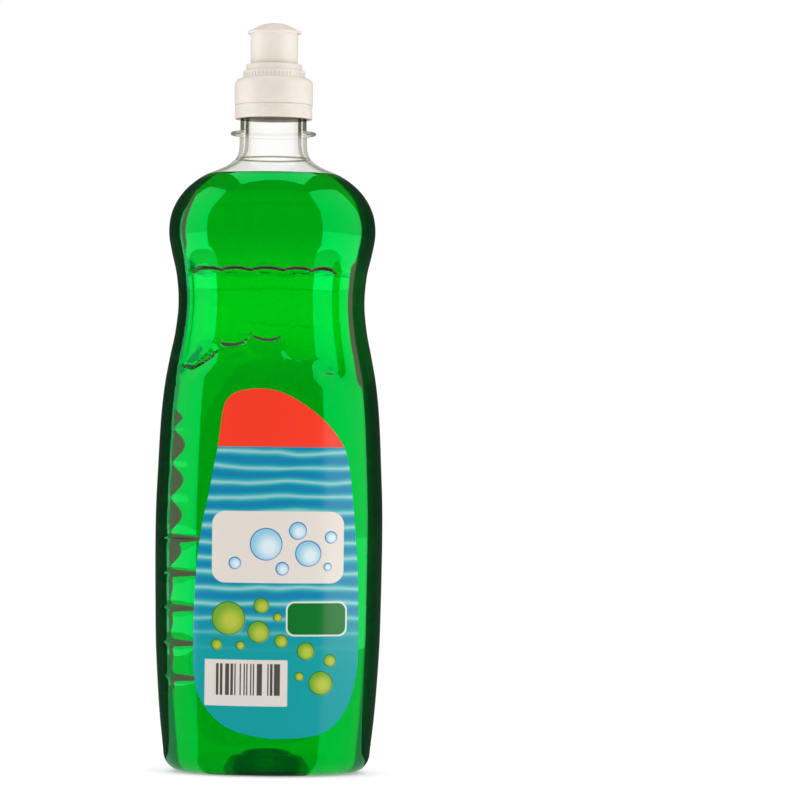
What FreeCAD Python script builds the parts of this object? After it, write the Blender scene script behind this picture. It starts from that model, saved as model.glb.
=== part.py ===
import FreeCAD, Part
import Sketcher
import os

# Dish soap bottle in PET with a push-pull screw cap.
# Millimetres. Origin on the floor under the axis, Z up, the label faces -Y.

doc = FreeCAD.newDocument("dish_soap_bottle")
dims = doc.addObject("Spreadsheet::Sheet", "dims")
sheet_rows = []

# Sizes that can be set one by one
SIZES = {
    # Blown body
    "body_height": 242.0,
    "body_half_width": 43.8,
    "body_half_depth": 28.9,
    "base_corner": 8.0,
    "base_half_width": 39.9,
    "base_half_depth": 26.1,
    "base_wall": 1.0,
    "body_wall": 0.45,
    "pushup_rise": 9.0,
    "pushup_rim": 1.8,
    # Waist flutes and flank ribs
    "flute_lift": 2.4,
    "flute_half_width": 10.1,
    "flute_half_height": 26.0,
    "flute_depth": 1.8,
    "rib_depth": 0.8,
    "rib_tool_radius": 1.4,
    "rib_floor_radius": 60.0,
    # Neck finish
    "neck_radius": 13.0,
    "neck_wall": 2.2,
    "neck_height": 23.3,
    "ring_lift": 3.1,
    "ring_reach": 3.5,
    "ring_droop": 0.6,
    "ring_edge": 0.9,
    "ring_taper": 0.7,
    "finish_step": 0.2,
    "bead_lift": 11.4,
    "bead_reach": 1.0,
    "bead_foot": 0.5,
    "bead_slope": 1.5,
    "wall_step": 0.25,
    "lip_round": 0.4,
    # Screw thread
    "thread_pitch": 3.18,
    "thread_half_root": 0.75,
    "thread_half_crest": 0.4,
    "thread_sink": 0.2,
    "thread_deep": 1.1,
    "thread_overlap": 0.7,
    "neck_thread_drop": 6.9,
    "neck_thread_rise": 5.1,
    "cap_thread_rise": 3.9,
    # Contents and label
    "fill_drop": 9.9,
    "label_film": 0.12,
    "label_glue": 0.1,
    "label_small_round": 8.0,
    "label_round": 16.0,
    "label_wide_round": 40.0,
    # Clearances between pieces that move
    "side_clearance": 0.3,
    "seat_clearance": 0.3,
    "thread_clearance": 0.35,
    # Tamper band
    "band_lift": 9.8,
    "band_height": 5.2,
    "band_wall": 0.8,
    "band_hook": 1.1,
    # Screw cap
    "cap_wall": 1.1,
    "cap_plate": 1.9,
    "cap_corner": 2.5,
    "plug_wall": 0.9,
    "plug_drop": 3.0,
    "plug_taper": 0.6,
    "collar_low_height": 2.8,
    "collar_low_step": 1.2,
    "collar_height": 5.4,
    "collar_wall": 1.35,
    "post_bore": 5.0,
    "post_wall": 1.4,
    "post_height": 14.0,
    "post_lip": 0.5,
    "post_lip_height": 1.0,
    "spider_drop": 3.5,
    "spider_high": 2.0,
    "spider_thick": 1.2,
    "pin_radius": 1.75,
    "pin_drop": 0.3,
    "notch_width": 1.0,
    "notch_depth": 0.5,
    "notch_lift": 0.8,
    "notch_high": 1.3,
    # Spout
    "spout_wall": 1.85,
    "spout_height": 17.2,
    "spout_travel": 4.8,
    "spout_bead": 1.1,
    "flange_reach": 1.2,
    "flange_thick": 1.0,
    "dome_height": 3.0,
    "dome_thick": 1.7,
}
COUNTS = {"spider_count": 3, "notch_count": 24}

# Height, half width, half depth and level wall thickness of the drawn sections, up to the neck foot.
SECTIONS = [
    (22.0, 41.4, 27.0, 0.45),
    (37.0, 42.5, 27.8, 0.45),
    (50.3, 43.2, 28.3, 0.45),
    (63.6, 43.5, 28.6, 0.45),
    (76.9, 43.7, 28.8, 0.45),
    (90.2, 43.8, 28.9, 0.45),
    (103.5, 43.65, 28.8, 0.45),
    (116.8, 43.1, 28.5, 0.45),
    (130.1, 42.5, 28.1, 0.45),
    (141.0, 41.75, 27.5, 0.45),
    (151.3, 40.5, 26.8, 0.45),
    (160.5, 38.8, 25.9, 0.45),
    (169.8, 36.95, 25.0, 0.45),
    (180.6, 35.9, 24.5, 0.45),
    (191.5, 36.7, 24.9, 0.45),
    (200.0, 38.6, 25.9, 0.50),
    (206.5, 39.75, 26.6, 0.55),
    (212.0, 39.6, 26.7, 0.60),
    (217.0, 38.3, 26.1, 0.80),
    (222.3, 35.3, 24.3, 1.30),
    (226.5, 31.3, 22.2, 2.00),
    (230.1, 26.0, 19.5, 2.80),
    (233.2, 18.8, 16.0, 3.50),
    (236.0, 14.8, 14.0, 2.95),
    (239.0, 13.3, 13.2, 2.40),
    (242.0, 13.0, 13.0, 2.20),
]
WAIST = 13
RIBS = range(1, 9)
FLUTES = {"left_outer": -38.5, "left": -19.5, "middle": 0.0, "right": 19.5, "right_outer": 38.5}

# Sideways and upward places of the label's corners before rounding
LABEL = {
    "top_left": (-18.6, 148.6),
    "top_right": (3.0, 148.2),
    "shoulder": (29.3, 129.5),
    "right": (34.9, 84.0),
    "low_right": (34.6, 29.0),
    "bottom_right": (23.0, 14.7),
    "bottom_left": (-13.0, 14.7),
    "low_left": (-28.6, 27.5),
    "left": (-28.4, 68.0),
}

# Places and sizes that follow from the others
FORMULAS = {
    "rib_at": "54 deg",
    "rib_turn": "atan(deep4_y / wide4_x * tan(rib_at))",
    "rib_sweep": "28 deg",
    "flute_z": "high%d_z + flute_lift" % WAIST,
    "waist_half_width": "wide%d_x" % WAIST,
    "waist_half_depth": "deep%d_y" % WAIST,
    "flute_reach": "flute_half_width - flute_depth",
    "pushup_half_width": "base_half_width - base_corner - pushup_rim",
    "pushup_half_depth": "base_half_depth - base_corner - pushup_rim",
    "neck_foot_z": "body_height",
    "bore_radius": "neck_radius - neck_wall",
    "neck_top_z": "neck_foot_z + neck_height",
    "ring_under_z": "neck_foot_z + ring_lift",
    "ring_radius": "neck_radius + ring_reach",
    "ring_edge_z": "ring_under_z + ring_droop",
    "ring_edge_top_z": "ring_edge_z + ring_edge",
    "ring_top_z": "ring_edge_top_z + ring_taper",
    "finish_radius": "neck_radius - finish_step",
    "bead_radius": "finish_radius + bead_reach",
    "bead_low_z": "neck_foot_z + bead_lift",
    "bead_edge_z": "bead_low_z + bead_foot",
    "bead_top_z": "bead_edge_z + bead_slope",
    "wall_radius": "finish_radius - wall_step",
    "lip_radius": "wall_radius - lip_round",
    "lip_z": "neck_top_z - lip_round",
    "neck_thread_z": "neck_top_z - neck_thread_drop",
    "neck_thread_crest": "wall_radius + thread_deep",
    "neck_thread_root": "wall_radius - thread_sink",
    "neck_thread_low": "neck_thread_z - thread_half_root",
    "neck_thread_high": "neck_thread_z + thread_half_root",
    "neck_crest_low": "neck_thread_z - thread_half_crest",
    "neck_crest_high": "neck_thread_z + thread_half_crest",
    "cap_bore": "neck_thread_crest + thread_clearance",
    "cap_thread_z": "neck_thread_z + thread_pitch / 2",
    "cap_thread_crest": "neck_thread_crest - thread_overlap",
    "cap_thread_root": "cap_bore + thread_sink",
    "cap_thread_low": "cap_thread_z - thread_half_root",
    "cap_thread_high": "cap_thread_z + thread_half_root",
    "cap_crest_low": "cap_thread_z - thread_half_crest",
    "cap_crest_high": "cap_thread_z + thread_half_crest",
    "fill_z": "neck_foot_z - fill_drop",
    "label_reach": "2 * body_half_depth",
    "band_low_z": "neck_foot_z + band_lift",
    "band_top_z": "band_low_z + band_height",
    "band_bore": "bead_radius + side_clearance",
    "band_radius": "band_bore + band_wall",
    "band_hook_bore": "finish_radius + thread_clearance",
    "band_hook_z": "band_low_z + band_hook",
    "band_hook_root_z": "bead_low_z - side_clearance / 3",
    "cap_low_z": "band_top_z + seat_clearance",
    "cap_radius": "cap_bore + cap_wall",
    "cap_ceiling_z": "neck_top_z + seat_clearance",
    "cap_top_z": "cap_ceiling_z + cap_plate",
    "cap_corner_low_z": "cap_top_z - cap_corner",
    "cap_corner_in": "cap_radius - cap_corner",
    "cap_corner_mid_in": "cap_corner_in + cap_corner * sin(45 deg)",
    "cap_corner_mid_z": "cap_corner_low_z + cap_corner * sin(45 deg)",
    "plug_radius": "bore_radius - side_clearance",
    "plug_bore": "plug_radius - plug_wall",
    "plug_tip": "plug_radius - plug_wall / 2",
    "plug_low_z": "cap_ceiling_z - plug_drop",
    "plug_taper_z": "plug_low_z + plug_taper",
    "post_radius": "post_bore + post_wall",
    "post_lip_radius": "post_radius + post_lip",
    "post_top_z": "cap_top_z + post_height",
    "post_lip_z": "post_top_z - post_lip_height",
    "spider_z": "post_top_z - spider_drop",
    "spider_reach": "post_bore + post_wall / 4",
    "spout_bore": "post_lip_radius + side_clearance",
    "spout_radius": "spout_bore + spout_wall",
    "spout_neck": "post_radius + side_clearance",
    "spout_low_z": "cap_top_z + seat_clearance",
    "spout_bead_top_z": "post_lip_z - spout_travel",
    "spout_bead_low_z": "spout_bead_top_z - spout_bead",
    "spout_bead_mid_z": "spout_bead_top_z - spout_bead / 2",
    "collar_bore": "spout_radius + side_clearance",
    "collar_radius": "collar_bore + collar_wall",
    "collar_low_radius": "collar_radius + collar_low_step",
    "collar_low_top_z": "cap_top_z + collar_low_height",
    "collar_top_z": "cap_top_z + collar_height",
    "notch_low_z": "cap_top_z + notch_lift",
    "flange_radius": "spout_radius + flange_reach",
    "flange_low_z": "cap_top_z + spout_height",
    "flange_top_z": "flange_low_z + flange_thick",
    "spout_bore_top_z": "flange_low_z - dome_thick",
    "orifice_radius": "pin_radius + side_clearance",
    "dome_top_z": "flange_top_z + dome_height",
    "dome_top_radius": "orifice_radius + 0.08 * flange_radius",
    "dome_mid_radius": "0.55 * flange_radius",
    "dome_mid_z": "flange_top_z + 0.73 * dome_height",
    "dome_foot_radius": "0.87 * flange_radius",
    "dome_foot_z": "flange_top_z + 0.13 * dome_height",
    "orifice_low_z": "dome_top_z - dome_thick",
    "pin_top_z": "dome_top_z - pin_drop",
}


def put(alias, value):
    """Writes one named size, a number or a formula, on the next row of the sheet."""
    sheet_rows.append(alias)
    row = len(sheet_rows)
    dims.set("A%d" % row, alias)
    dims.set("B%d" % row, str(value))
    dims.setAlias("B%d" % row, alias)


def put_sections():
    """Writes the sections, each drawn size stretched to the body's own height, width and depth."""
    drawn_height, drawn_neck, _, drawn_neck_wall = SECTIONS[-1]
    drawn_wall = SECTIONS[0][3]
    drawn_width = max(section[1] for section in SECTIONS)
    drawn_depth = max(section[2] for section in SECTIONS)
    stretch = "=neck_radius + (%s - %s) * (%s - neck_radius) / (%s - %s)"
    for number, (height, half_width, half_depth, wall) in enumerate(SECTIONS):
        put("high%d_z" % number, "=%s * body_height / %s" % (height, drawn_height))
        put("wide%d_x" % number,
            stretch % (half_width, drawn_neck, "body_half_width", drawn_width, drawn_neck))
        put("deep%d_y" % number,
            stretch % (half_depth, drawn_neck, "body_half_depth", drawn_depth, drawn_neck))
        put("thick%d_t" % number,
            "=body_wall + (%s - %s) * (neck_wall - body_wall) / (%s - %s)"
            % (wall, drawn_wall, drawn_neck_wall, drawn_wall))


for alias, value in list(SIZES.items()) + list(COUNTS.items()):
    put(alias, value)
put_sections()
for alias, formula in FORMULAS.items():
    put(alias, "=" + formula)
for side, angle in FLUTES.items():
    put("flute_%s_at" % side, "=%s deg" % angle)
    put("flute_%s_turn" % side,
        "=atan(waist_half_depth / waist_half_width * tan(flute_%s_at))" % side)
for corner, (sideways, upward) in LABEL.items():
    put("label_%s_x" % corner, sideways)
    put("label_%s_z" % corner, upward)
doc.recompute()


def bind(thing, **formulas):
    """Ties properties of one object to the sheet; a double underline in a name stands for a dot."""
    for name, formula in formulas.items():
        thing.setExpression(name.replace("__", "."), formula)


def ellipse(name, height, half_width, half_depth):
    """One level elliptic section."""
    section = doc.addObject("Part::Ellipse", name)
    bind(section, MajorRadius=half_width, MinorRadius=half_depth, Placement__Base__z=height)
    return section


def loft(name, inset, foot):
    """A closed body through all sections, moved inward by an inset and upward from a foot height."""
    sections = []
    for step, angle in enumerate((0, 20, 42, 66, 90)):
        inward = "(dims.base_corner - %s) * (1 - sin(%d deg)) + %s" % (inset, angle, inset)
        upward = "%s + (dims.base_corner - %s) * (1 - cos(%d deg))" % (foot, foot, angle)
        sections.append(ellipse(
            "%s_corner%d" % (name, step), upward,
            "dims.base_half_width - (%s)" % inward,
            "dims.base_half_depth - (%s)" % inward))
    for number in range(len(SECTIONS)):
        side = "dims.thick%d_t" % number if inset == "dims.body_wall" else inset
        sections.append(ellipse(
            "%s_section%d" % (name, number), "dims.high%d_z" % number,
            "dims.wide%d_x - (%s)" % (number, side),
            "dims.deep%d_y - (%s)" % (number, side)))
    body = doc.addObject("Part::Loft", name)
    body.Sections = sections
    body.Solid = True
    body.Ruled = False
    return body


def flutes(name, grow):
    """The ten long hollows of the waist, five in front and five behind."""
    tools = []
    for side in FLUTES:
        for face, sign in (("front", "-1"), ("back", "1")):
            tool = doc.addObject("Part::Ellipsoid", "%s_%s_%s" % (name, face, side))
            tool.Angle1 = -90
            tool.Angle2 = 90
            tool.Placement.Rotation = FreeCAD.Rotation(FreeCAD.Vector(0, 0, 1), 1)
            at = "dims.flute_%s_at" % side
            turn = "dims.flute_%s_turn" % side
            bind(
                tool,
                Radius1="dims.flute_half_height + %s" % grow,
                Radius2="dims.flute_half_width + %s" % grow,
                Radius3="dims.flute_half_width + %s" % grow,
                Placement__Base__x="dims.waist_half_width * sin(%s) + dims.flute_reach * sin(%s)"
                % (at, turn),
                Placement__Base__y="%s * (dims.waist_half_depth * cos(%s)"
                " + dims.flute_reach * cos(%s))" % (sign, at, turn),
                Placement__Base__z="dims.flute_z",
            )
            tools.append(tool)
    return tools


def ribs(name, grow):
    """The eight narrow grooves between the ribs, deepest in the middle of the left front flank."""
    tools = []
    for number in RIBS:
        tool = doc.addObject("Part::Torus", "%s_%d" % (name, number))
        tool.Placement.Rotation = FreeCAD.Rotation(FreeCAD.Vector(0, 0, 1), 210)
        inward = "(dims.rib_floor_radius + dims.rib_depth)"
        bind(
            tool,
            Radius1="dims.rib_floor_radius + dims.rib_tool_radius",
            Radius2="dims.rib_tool_radius + %s" % grow,
            Angle3="dims.rib_sweep",
            Placement__Base__x="%s * sin(dims.rib_turn) - dims.wide%d_x * sin(dims.rib_at)"
            % (inward, number),
            Placement__Base__y="%s * cos(dims.rib_turn)"
            " - dims.deep%d_y * cos(dims.rib_at)" % (inward, number),
            Placement__Base__z="dims.high%d_z" % number,
            Placement__Rotation__Angle="270 deg - dims.rib_turn - dims.rib_sweep / 2",
        )
        tools.append(tool)
    return tools


def pushup(name, grow):
    """The hollow under the base."""
    tool = doc.addObject("Part::Ellipsoid", name)
    tool.Angle1 = -90
    tool.Angle2 = 90
    bind(
        tool,
        Radius1="dims.pushup_rise + %s" % grow,
        Radius2="dims.pushup_half_width + %s" % grow,
        Radius3="dims.pushup_half_depth + %s" % grow,
    )
    return tool


def joined(name, shapes):
    """One solid out of several."""
    result = doc.addObject("Part::MultiFuse", name)
    result.Shapes = shapes
    return result


def cut(name, base, tool):
    """A base less a tool."""
    result = doc.addObject("Part::Cut", name)
    result.Base = base
    result.Tool = tool
    return result


def common(name, base, tool):
    """What a base and a tool share."""
    result = doc.addObject("Part::Common", name)
    result.Base = base
    result.Tool = tool
    return result


def sketch_of(body, name, corners, plane="XZ_Plane"):
    """A closed outline; each corner is a pair of sheet names, None for a place on the axis."""
    sketch = body.newObject("Sketcher::SketchObject", name)
    face = [part for part in body.Origin.OriginFeatures if plane in part.Name][0]
    sketch.AttachmentSupport = [(face, "")]
    sketch.MapMode = "FlatFace"
    places = []
    for across, up in corners:
        x = 0.0 if across is None else float(dims.get(across))
        places.append(FreeCAD.Vector(x, float(dims.get(up)), 0))
    for number, place in enumerate(places):
        sketch.addGeometry(Part.LineSegment(place, places[(number + 1) % len(places)]), False)
    for number in range(len(places)):
        sketch.addConstraint(Sketcher.Constraint("Coincident", number - 1, 2, number, 1)
                             if number else
                             Sketcher.Constraint("Coincident", len(places) - 1, 2, 0, 1))
    for number, (across, up) in enumerate(corners):
        if across is None:
            sketch.addConstraint(Sketcher.Constraint("PointOnObject", number, 1, -2))
        else:
            index = sketch.addConstraint(Sketcher.Constraint(
                "DistanceX", -1, 1, number, 1, places[number].x))
            sketch.setExpression("Constraints[%d]" % index, "dims.%s" % across)
        index = sketch.addConstraint(Sketcher.Constraint(
            "DistanceY", -1, 1, number, 1, places[number].y))
        sketch.setExpression("Constraints[%d]" % index, "dims.%s" % up)
    return sketch


def turned(body, name, corners):
    """Material turned about the upright axis."""
    sketch = sketch_of(body, name + "_outline", corners)
    feature = body.newObject("PartDesign::Revolution", name)
    feature.Profile = sketch
    feature.ReferenceAxis = (sketch, ["V_Axis"])
    feature.Angle = 360
    sketch.Visibility = False
    return feature


def thread(body, name, corners, rise):
    """A helical ridge about the upright axis."""
    sketch = sketch_of(body, name + "_outline", corners)
    feature = body.newObject("PartDesign::AdditiveHelix", name)
    feature.Profile = sketch
    feature.ReferenceAxis = (sketch, ["V_Axis"])
    feature.Mode = 0
    bind(feature, Pitch="dims.thread_pitch", Height=rise)
    sketch.Visibility = False
    return feature


# Neck finish with support ring, lock bead and thread
neck = doc.addObject("PartDesign::Body", "neck_finish")
turned(neck, "neck_turned", [
    (None, "neck_foot_z"),
    ("neck_radius", "neck_foot_z"),
    ("neck_radius", "ring_under_z"),
    ("ring_radius", "ring_edge_z"),
    ("ring_radius", "ring_edge_top_z"),
    ("finish_radius", "ring_top_z"),
    ("finish_radius", "bead_low_z"),
    ("bead_radius", "bead_edge_z"),
    ("wall_radius", "bead_top_z"),
    ("wall_radius", "lip_z"),
    ("lip_radius", "neck_top_z"),
    (None, "neck_top_z"),
])
thread(neck, "neck_thread", [
    ("neck_thread_root", "neck_thread_low"),
    ("neck_thread_crest", "neck_crest_low"),
    ("neck_thread_crest", "neck_crest_high"),
    ("neck_thread_root", "neck_thread_high"),
], "dims.neck_thread_rise")

# Blown bottle
bore = doc.addObject("Part::Cylinder", "neck_bore")
bind(bore, Radius="dims.bore_radius", Height="dims.neck_top_z - dims.neck_foot_z + 2",
     Placement__Base__z="dims.neck_foot_z")
outside = loft("outside", "0", "0")
inside = loft("inside", "dims.body_wall", "dims.base_wall")
ridges = [pushup("inside_pushup", "dims.base_wall")]
ridges += flutes("inside_flute", "dims.body_wall") + ribs("inside_rib", "dims.body_wall")
room = cut("body_room", inside, joined("inside_ridges", ridges))
cavity = joined("cavity", [room, bore])
blank = joined("bottle_blank", [outside, neck])
hollows = [pushup("outside_pushup", "0")]
hollows += flutes("outside_flute", "0") + ribs("outside_rib", "0")
formed = cut("bottle_formed", blank, joined("outside_hollows", hollows))
bottle = cut("bottle", formed, cavity)

# Dish soap
fill = doc.addObject("Part::Box", "fill_space")
bind(fill, Length="200 mm", Width="200 mm", Height="dims.fill_z",
     Placement__Base__x="-100 mm", Placement__Base__y="-100 mm")
liquid = common("dish_liquid", room, fill)

# Label film
label_body = doc.addObject("PartDesign::Body", "label_blank")
label_outline = sketch_of(
    label_body, "label_outline",
    [("label_%s_x" % corner, "label_%s_z" % corner) for corner in LABEL])
pad = label_body.newObject("PartDesign::Pad", "label_pad")
pad.Profile = label_outline
bind(pad, Length="dims.label_reach")
doc.recompute()


def rounded(base, name, corners, radius):
    """Rounds the upright corners of the label blank that stand at the named places."""
    picked = []
    for number, edge in enumerate(base.Shape.Edges):
        ends = [vertex.Point for vertex in edge.Vertexes]
        if len(ends) != 2 or abs(ends[0].y - ends[1].y) < 1.0:
            continue
        for corner in corners:
            across = float(dims.get("label_%s_x" % corner))
            up = float(dims.get("label_%s_z" % corner))
            if abs(ends[0].x - across) < 0.01 and abs(ends[0].z - up) < 0.01:
                picked.append("Edge%d" % (number + 1))
    feature = label_body.newObject("PartDesign::Fillet", name)
    feature.Base = (base, picked)
    bind(feature, Radius=radius)
    doc.recompute()
    return feature


soft = rounded(pad, "label_small_round_edges", ["top_left"], "dims.label_small_round")
soft = rounded(soft, "label_round_edges",
               ["low_right", "bottom_right", "bottom_left", "low_left"], "dims.label_round")
soft = rounded(soft, "label_wide_round_edges",
               ["top_right", "shoulder", "right", "left"], "dims.label_wide_round")
film = cut("film_all_round", loft("film_skin", "-(dims.label_glue + dims.label_film)", "0"),
           loft("film_back", "-dims.label_glue", "0"))
label = common("front_label", film, label_body)

# Tamper band
band = doc.addObject("PartDesign::Body", "tamper_band")
turned(band, "band_turned", [
    ("band_hook_bore", "band_low_z"),
    ("band_radius", "band_low_z"),
    ("band_radius", "band_top_z"),
    ("band_bore", "band_top_z"),
    ("band_bore", "band_hook_root_z"),
    ("band_hook_bore", "band_hook_z"),
])

# Screw cap with collar, hollow post and plug seal
cap = doc.addObject("PartDesign::Body", "screw_cap")
turned(cap, "cap_turned", [
    ("cap_bore", "cap_low_z"),
    ("cap_radius", "cap_low_z"),
    ("cap_radius", "cap_corner_low_z"),
    ("cap_corner_mid_in", "cap_corner_mid_z"),
    ("cap_corner_in", "cap_top_z"),
    ("collar_low_radius", "cap_top_z"),
    ("collar_low_radius", "collar_low_top_z"),
    ("collar_radius", "collar_low_top_z"),
    ("collar_radius", "collar_top_z"),
    ("collar_bore", "collar_top_z"),
    ("collar_bore", "cap_top_z"),
    ("post_radius", "cap_top_z"),
    ("post_radius", "post_lip_z"),
    ("post_lip_radius", "post_lip_z"),
    ("post_radius", "post_top_z"),
    ("post_bore", "post_top_z"),
    ("post_bore", "cap_ceiling_z"),
    ("plug_bore", "cap_ceiling_z"),
    ("plug_bore", "plug_low_z"),
    ("plug_tip", "plug_low_z"),
    ("plug_radius", "plug_taper_z"),
    ("plug_radius", "cap_ceiling_z"),
    ("cap_bore", "cap_ceiling_z"),
])
thread(cap, "cap_thread", [
    ("cap_thread_root", "cap_thread_low"),
    ("cap_thread_crest", "cap_crest_low"),
    ("cap_thread_crest", "cap_crest_high"),
    ("cap_thread_root", "cap_thread_high"),
], "dims.cap_thread_rise")


legs = cap.newObject("PartDesign::AdditiveBox", "spider_leg")
bind(legs, Length="dims.spider_reach", Width="dims.spider_thick", Height="dims.spider_high",
     Placement__Base__y="-dims.spider_thick / 2", Placement__Base__z="dims.spider_z")
doc.recompute()
spider = cap.newObject("PartDesign::PolarPattern", "spider_legs")
spider.Originals = [legs]
spider.Axis = (cap.Origin.OriginFeatures[2], [""])
spider.Angle = 360
bind(spider, Occurrences="dims.spider_count")
cap.Tip = spider
doc.recompute()
pin = cap.newObject("PartDesign::AdditiveCylinder", "sealing_pin")
bind(pin, Radius="dims.pin_radius", Height="dims.pin_top_z - dims.spider_z",
     Placement__Base__z="dims.spider_z")
cap.Tip = pin
doc.recompute()
notch = cap.newObject("PartDesign::SubtractiveBox", "collar_notch")
bind(notch, Length="2 mm", Width="dims.notch_width", Height="dims.notch_high",
     Placement__Base__x="dims.collar_low_radius - dims.notch_depth",
     Placement__Base__y="-dims.notch_width / 2", Placement__Base__z="dims.notch_low_z")
doc.recompute()
notches = cap.newObject("PartDesign::PolarPattern", "collar_notches")
notches.Originals = [notch]
notches.Axis = (cap.Origin.OriginFeatures[2], [""])
notches.Angle = 360
bind(notches, Occurrences="dims.notch_count")
cap.Tip = notches
doc.recompute()

# Push-pull spout
spout = doc.addObject("PartDesign::Body", "spout")
turned(spout, "spout_turned", [
    ("spout_bore", "spout_low_z"),
    ("spout_radius", "spout_low_z"),
    ("spout_radius", "flange_low_z"),
    ("flange_radius", "flange_low_z"),
    ("flange_radius", "flange_top_z"),
    ("dome_foot_radius", "dome_foot_z"),
    ("dome_mid_radius", "dome_mid_z"),
    ("dome_top_radius", "dome_top_z"),
    ("orifice_radius", "dome_top_z"),
    ("orifice_radius", "orifice_low_z"),
    ("spout_bore", "spout_bore_top_z"),
    ("spout_bore", "spout_bead_top_z"),
    ("spout_neck", "spout_bead_mid_z"),
    ("spout_bore", "spout_bead_low_z"),
])
doc.recompute()

NODES = {
    "bottle": bottle,
    "dish_liquid": liquid,
    "front_label": label,
    "tamper_band": band,
    "screw_cap": cap,
    "spout": spout,
}
for thing in doc.Objects:
    if "Invalid" in thing.State or "Error" in thing.State:
        raise RuntimeError("%s is %s" % (thing.Name, thing.State))
os.makedirs("parts", exist_ok=True)
for node, thing in NODES.items():
    thing.Label = node
    shape = thing.Shape
    if shape.isNull() or not shape.isValid() or not shape.Solids:
        raise RuntimeError("%s has no valid solid" % node)
    shape.exportStep("parts/%s.step" % node)
    print(node, len(shape.Solids), "solid(s)", round(shape.Volume / 1000.0, 3), "cm3")
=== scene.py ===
import math

import bpy
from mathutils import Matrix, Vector


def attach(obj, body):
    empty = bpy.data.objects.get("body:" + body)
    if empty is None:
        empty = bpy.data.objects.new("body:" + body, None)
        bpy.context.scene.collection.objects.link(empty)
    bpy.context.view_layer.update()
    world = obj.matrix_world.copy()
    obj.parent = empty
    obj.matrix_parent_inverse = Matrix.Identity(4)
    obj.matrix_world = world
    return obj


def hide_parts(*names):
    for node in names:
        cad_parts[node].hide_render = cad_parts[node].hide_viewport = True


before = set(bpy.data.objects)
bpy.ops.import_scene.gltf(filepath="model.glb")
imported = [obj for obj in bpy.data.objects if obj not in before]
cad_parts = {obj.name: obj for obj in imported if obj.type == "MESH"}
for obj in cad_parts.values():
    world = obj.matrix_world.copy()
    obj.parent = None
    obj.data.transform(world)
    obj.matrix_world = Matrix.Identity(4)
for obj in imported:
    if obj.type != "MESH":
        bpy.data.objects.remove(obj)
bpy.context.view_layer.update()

MM = 0.001

# Side profile of the blown body
# Height, half width and half depth, in millimetres, from above the base corner to the neck foot
BODY_STATIONS = [
    (8.0, 39.9, 26.1),
    (22.0, 41.4, 27.0),
    (37.0, 42.5, 27.8),
    (50.3, 43.2, 28.3),
    (63.6, 43.5, 28.6),
    (76.9, 43.7, 28.8),
    (90.2, 43.8, 28.9),
    (103.5, 43.65, 28.8),
    (116.8, 43.1, 28.5),
    (130.1, 42.5, 28.1),
    (141.0, 41.75, 27.5),
    (151.3, 40.5, 26.8),
    (160.5, 38.8, 25.9),
    (169.8, 36.95, 25.0),
    (180.6, 35.9, 24.5),
    (191.5, 36.7, 24.9),
    (200.0, 38.6, 25.9),
    (206.5, 39.75, 26.6),
    (212.0, 39.6, 26.7),
    (217.0, 38.3, 26.1),
    (222.3, 35.3, 24.3),
    (226.5, 31.3, 22.2),
    (230.1, 26.0, 19.5),
    (233.2, 18.8, 16.0),
    (236.0, 14.8, 14.0),
    (239.0, 13.3, 13.2),
    (242.0, 13.0, 13.0),
]
# Level thickness of the wall at some heights
WALL_STATIONS = [
    (8.0, 0.45),
    (200.0, 0.45),
    (217.0, 0.60),
    (226.5, 0.80),
    (233.2, 1.30),
    (238.0, 1.90),
    (242.0, 2.20),
]
BODY_WALL = WALL_STATIONS[0][1]
BASE_CORNER = 8.0
BASE_WALL = 1.0
# Hollow under the base, as radius and rise from its middle outward
PUSHUP = [
    (0.0, 9.2), (3.5, 9.1), (6.0, 8.7), (7.8, 8.0), (8.6, 7.1), (9.8, 6.8), (12.2, 6.1),
    (13.4, 4.8), (15.2, 4.3), (17.2, 2.9), (20.0, 2.2), (22.0, 1.2), (26.0, 0.5), (30.1, 0.0),
]
NECK_FOOT = 242.0
NECK_TOP = 265.3
NECK_RADIUS = 13.0
BORE_RADIUS = 10.8
FILL_HEIGHT = 230.6

# Waist grip: flutes side by side round the oval
# Middle and half angle, foot, slant of the foot, and strength of the crease at the foot
FLUTES = [
    (-45.0, 12.0, 154.4, 3.6, 1.0),
    (-24.0, 10.3, 161.5, 0.6, 0.9),
    (-3.5, 10.5, 163.5, -0.6, 0.85),
    (16.5, 9.7, 156.0, -1.5, 0.3),
    (34.5, 8.6, 151.0, -1.0, 0.25),
]
GRIP_TOP = 198.0
GRIP_ARCH = 3.2
GRIP_SLOPE = 6.0
GRIP_DEPTH = 1.3
GRIP_RIDGE = 0.3
GRIP_LOW = 140.0
GRIP_HIGH = 205.0
FLUTE_REACH = 1.4
FLUTE_FADE = 0.4
CREASE_DEPTH = 0.8
CREASE_HALF_HEIGHT = 0.7
# Flank ribs: broad ones at the side, and narrow ones that reach the label lower down
RIB_FIRST = 37.0
RIB_PITCH = 13.3
RIB_COUNT = 8
BROAD_RIB = (0.25, 2.4, 60.0, 17.0)
NARROW_RIB = (0.4, 0.9, 50.0, 19.0)
NARROW_LAST = 4
RIB_TOP = 150.0
RIB_ROWS = (-6.0, -4.6, -3.4, -2.4, -1.7, -1.1, -0.7, -0.35, 0.0, 0.35, 0.7, 1.1, 1.7, 2.4,
            3.4, 4.6, 6.0)

# How strongly painted grey shade lies on the wall: in creases and ribs, and on the flanks between
# two heights
CREASE_SHADE = 4.2
RIB_SHADE = 3.4
FLANK_ANGLE = 26.0
FLANK_SOFT = 10.0
RIGHT_FLANK_SHADE = (0.55, 146.0, 199.0, 5.0)
LOWER_FLANK_SHADE = (0.4, 30.0, 140.0, 4.0)
RIB_GAP_SHADE = (0.6, 76.0, 140.0, 4.0)
SHOULDER_FLANK_SHADE = (0.4, 198.0, 226.0, 6.0)

SPIN_STEPS = 144


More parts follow.
